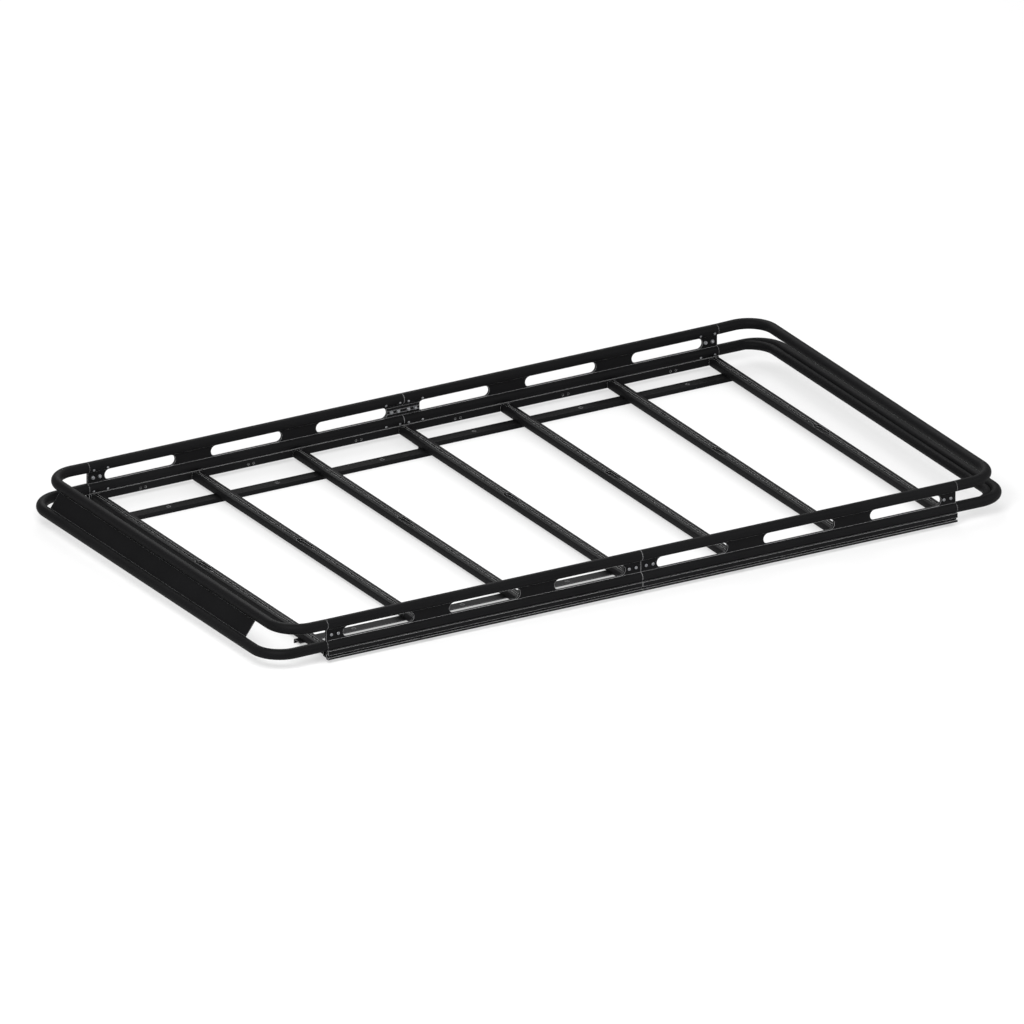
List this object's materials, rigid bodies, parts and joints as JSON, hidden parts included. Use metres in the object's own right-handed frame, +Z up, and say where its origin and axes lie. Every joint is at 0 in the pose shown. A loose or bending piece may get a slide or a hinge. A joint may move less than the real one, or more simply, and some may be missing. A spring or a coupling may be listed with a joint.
{
  "type": "van roof rack",
  "caption": "Low open roof rack for a van: slotted twin-tube side rails, T-slot crossbars, rounded hoops front and rear, a sloping front fairing and angle foot rails.",
  "frame": {"origin": "centre of the rack's bounding box at the underside of the foot rails", "axes": "+X towards the rear of the van, +Y towards the van's right side, +Z up"},
  "size_m": [2.9566, 1.6682, 0.1623],
  "materials": {
    "side_rails": "satin black powder coat on aluminium extrusion",
    "hoops": "satin black powder coat on aluminium tube",
    "fairing": "satin black powder coat on aluminium sheet",
    "crossbars": "satin black powder coat on aluminium extrusion",
    "foot_rails": "satin black powder coat on aluminium angle",
    "splice_plates": "satin black powder coat on aluminium plate",
    "couplers": "mill finish tube",
    "fasteners": "stainless steel"
  },
  "bodies": {
    "root": {"side_rail_left_front": "side_rails", "side_rail_left_rear": "side_rails", "side_rail_right_front": "side_rails", "side_rail_right_rear": "side_rails", "tube_coupler_left_upper": "couplers", "tube_coupler_left_lower": "couplers", "tube_coupler_right_upper": "couplers", "tube_coupler_right_lower": "couplers", "splice_plate_left": "splice_plates", "splice_plate_right": "splice_plates", "front_hoop_upper": "hoops", "front_hoop_lower": "hoops", "front_fairing": "fairing", "rear_hoop_upper": "hoops", "rear_hoop_lower": "hoops", "crossbar_1": "crossbars", "crossbar_2": "crossbars", "crossbar_3": "crossbars", "crossbar_4": "crossbars", "crossbar_5": "crossbars", "crossbar_6": "crossbars", "crossbar_7": "crossbars", "foot_rail_left_front": "foot_rails", "foot_rail_left_rear": "foot_rails", "foot_rail_right_front": "foot_rails", "foot_rail_right_rear": "foot_rails", "web_bolts_left": "fasteners", "web_bolts_right": "fasteners", "tube_screws_left": "fasteners", "tube_screws_right": "fasteners", "end_bolts_left": "fasteners", "end_bolts_right": "fasteners", "foot_bolts_left": "fasteners", "foot_bolts_right": "fasteners"}
  },
  "joints": []
}
